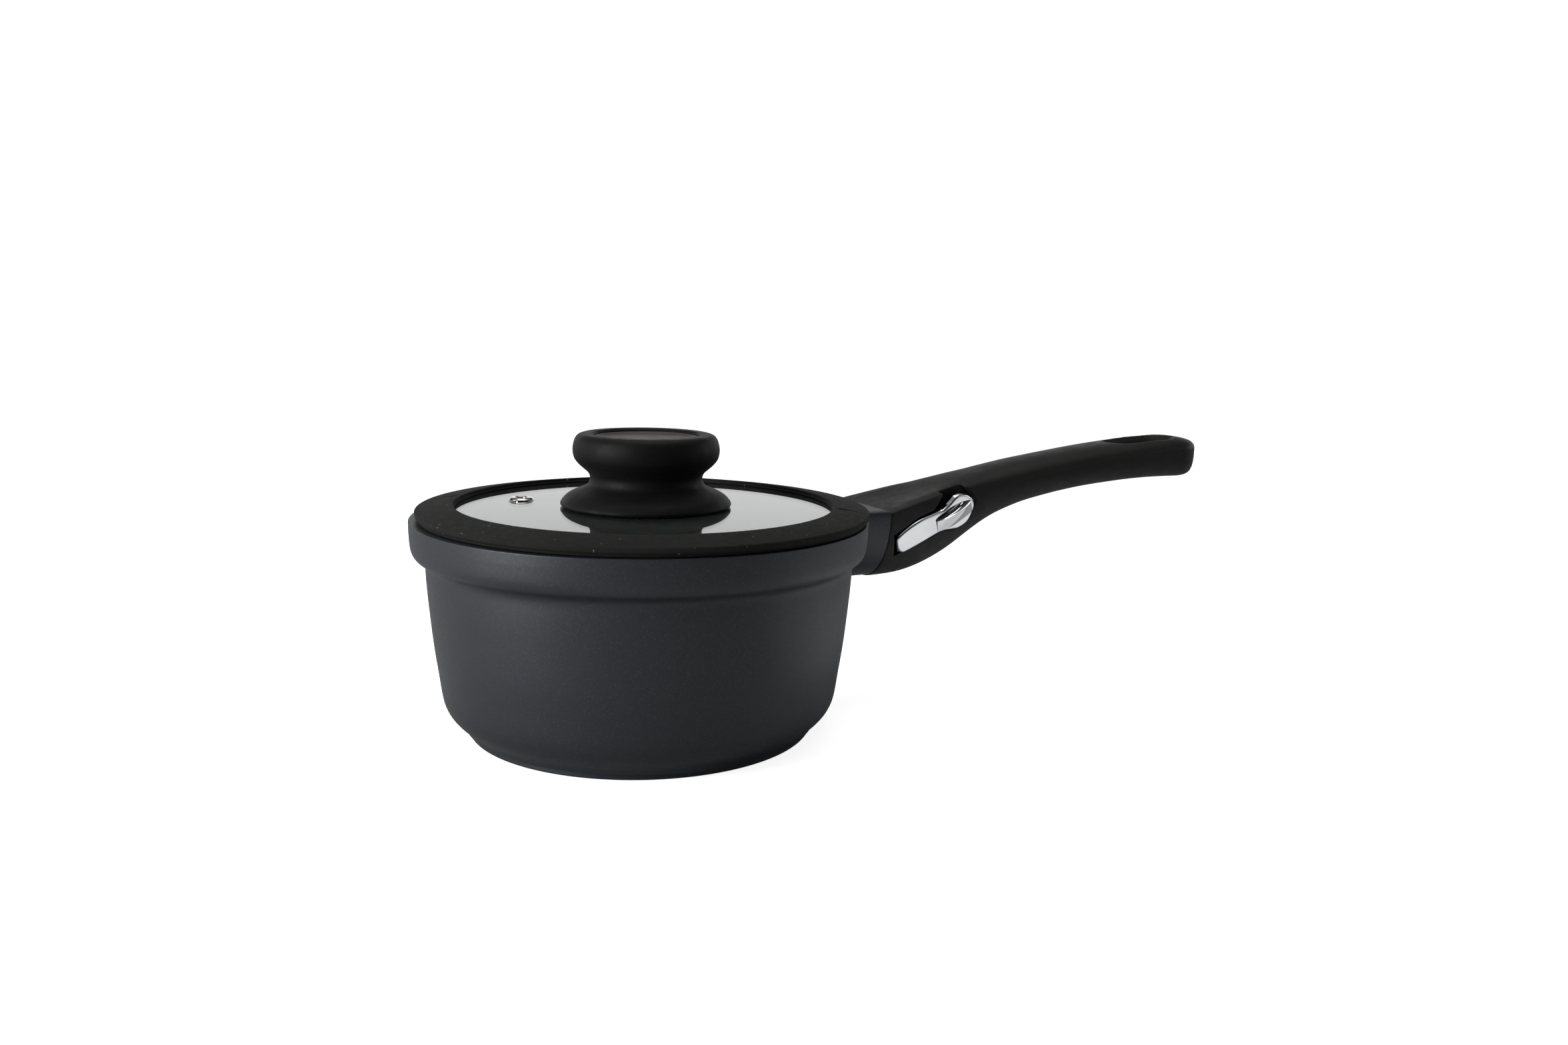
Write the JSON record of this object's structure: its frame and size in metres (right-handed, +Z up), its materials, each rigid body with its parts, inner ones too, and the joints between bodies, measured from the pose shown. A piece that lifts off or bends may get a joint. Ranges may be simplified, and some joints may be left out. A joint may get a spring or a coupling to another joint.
{
  "type": "saucepan with lid and detachable handle",
  "caption": "Cast saucepan with stepped base, silicone-rimmed glass lid with round knob, and a detachable handle clamped by a side cam lever.",
  "frame": {"origin": "centre of the base on its resting plane", "axes": "+Z up the pan axis; +X along the handle; +Y completes the right-handed frame, so the cam lever is on the -Y side of the handle"},
  "size_m": [0.449, 0.212, 0.1384],
  "materials": {
    "pan_paint": "cast aluminium in dark satin sparkle paint",
    "lid_glass": "clear toughened glass",
    "silicone_rim": "matte silicone",
    "eyelet_steel": "polished steel",
    "washer_steel": "plain steel",
    "knob_soft_touch": "soft-touch black",
    "knob_cap": "matte dished disc",
    "insert_brass": "knurled brass",
    "gasket": "silicone",
    "screw_steel": "stainless screw",
    "handle_top": "soft-touch, fine grain",
    "handle_side": "soft-touch, fine grain",
    "sleeve_steel": "pressed steel",
    "lever_chrome": "bright chrome plate",
    "pin_steel": "ground steel",
    "shoe_steel": "plain steel"
  },
  "bodies": {
    "pan": {"pan_casting": "pan_paint"},
    "lid": {"lid_glass": "lid_glass", "lid_silicone_rim": "silicone_rim", "vent_eyelet": "eyelet_steel", "vent_washer": "washer_steel", "knob_body": "knob_soft_touch", "knob_cap": "knob_cap", "knob_insert": "insert_brass", "knob_gasket_upper": "gasket", "knob_gasket_lower": "gasket", "knob_washer": "washer_steel", "knob_screw": "screw_steel"},
    "handle": {"handle_upper_shell": "handle_top", "handle_lower_shell": "handle_side", "tongue_sleeve": "sleeve_steel", "shell_screw_1": "screw_steel", "shell_screw_2": "screw_steel", "shell_screw_3": "screw_steel", "lever_pin": "pin_steel"},
    "lever": {"cam_lever": "lever_chrome"},
    "shoe": {"clamp_shoe": "shoe_steel"}
  },
  "joints": [
    {"name": "lid_lift", "type": "slide", "parent": "pan", "child": "lid", "axis": [0, 0, 1], "range_m": [0, 0.12]},
    {"name": "handle_slide", "type": "slide", "parent": "pan", "child": "handle", "axis": [1, 0, 0], "range_m": [0, 0.06]},
    {"name": "lever_flip", "type": "hinge", "parent": "handle", "child": "lever", "pos_m": [0.132, -0.01913, 0.08326], "axis": [0.3704, 0.2348, -0.8987], "range_deg": [0, 75]},
    {"name": "shoe_release", "type": "slide", "parent": "handle", "child": "shoe", "axis": [0.1442, -0.9703, -0.1941], "range_m": [0, 0.0009]}
  ],
  "couplings": [
    {"joint": "shoe_release", "follows": "lever_flip", "m_per_rad": 0.0006869}
  ]
}
